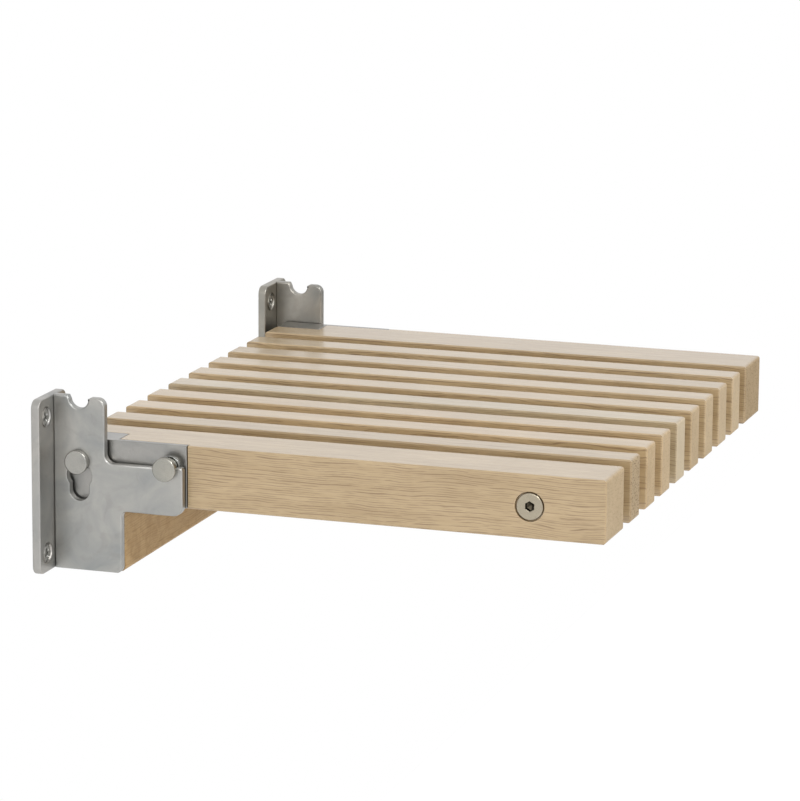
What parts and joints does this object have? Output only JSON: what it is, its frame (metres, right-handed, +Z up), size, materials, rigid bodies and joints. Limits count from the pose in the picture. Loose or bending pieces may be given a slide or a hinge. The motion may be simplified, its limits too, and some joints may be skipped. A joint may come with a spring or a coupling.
{
  "type": "folding wall seat",
  "caption": "Slatted oak seat that hangs from steel wall brackets by headed pins and folds up against the wall about its rear pins.",
  "frame": {"origin": "on the wall plane, at the height of the seat's top face when it is folded down, midway between the brackets' side plates", "axes": "+X along the wall, towards the bracket that is on the right when the wall is faced; +Y into the wall; +Z up"},
  "size_m": [0.476, 0.4286, 0.1185],
  "materials": {
    "oak": "satin, oiled",
    "plate_steel": "bead blasted satin",
    "pin_steel": "satin turned",
    "screw_steel": "plain stainless",
    "rod_steel": "plain stainless"
  },
  "bodies": {
    "wall_frame": {"left_wall_flange": "plate_steel", "right_wall_flange": "plate_steel", "left_side_plate": "plate_steel", "right_side_plate": "plate_steel", "wall_rail": "oak", "left_wall_screws": "screw_steel", "right_wall_screws": "screw_steel", "rail_screws": "screw_steel"},
    "seat": {"left_outer_slat": "oak", "right_outer_slat": "oak", "slat_1": "oak", "slat_2": "oak", "slat_3": "oak", "slat_4": "oak", "slat_5": "oak", "slat_6": "oak", "slat_7": "oak", "slat_8": "oak", "front_tie_rod": "rod_steel", "rear_tie_rod": "rod_steel", "front_spacers": "rod_steel", "rear_spacers": "rod_steel", "left_tie_bolt": "screw_steel", "right_tie_bolt": "screw_steel", "left_seat_bracket": "plate_steel", "right_seat_bracket": "plate_steel", "left_rear_pin": "pin_steel", "right_rear_pin": "pin_steel", "left_front_pin": "pin_steel", "right_front_pin": "pin_steel", "pin_washers": "pin_steel", "bracket_screws": "screw_steel"}
  },
  "joints": [
    {"name": "seat_fold", "type": "hinge", "parent": "wall_frame", "child": "seat", "pos_m": [0, -0.02319, -0.0146], "axis": [-1, 0, 0], "range_deg": [0, 90]}
  ]
}
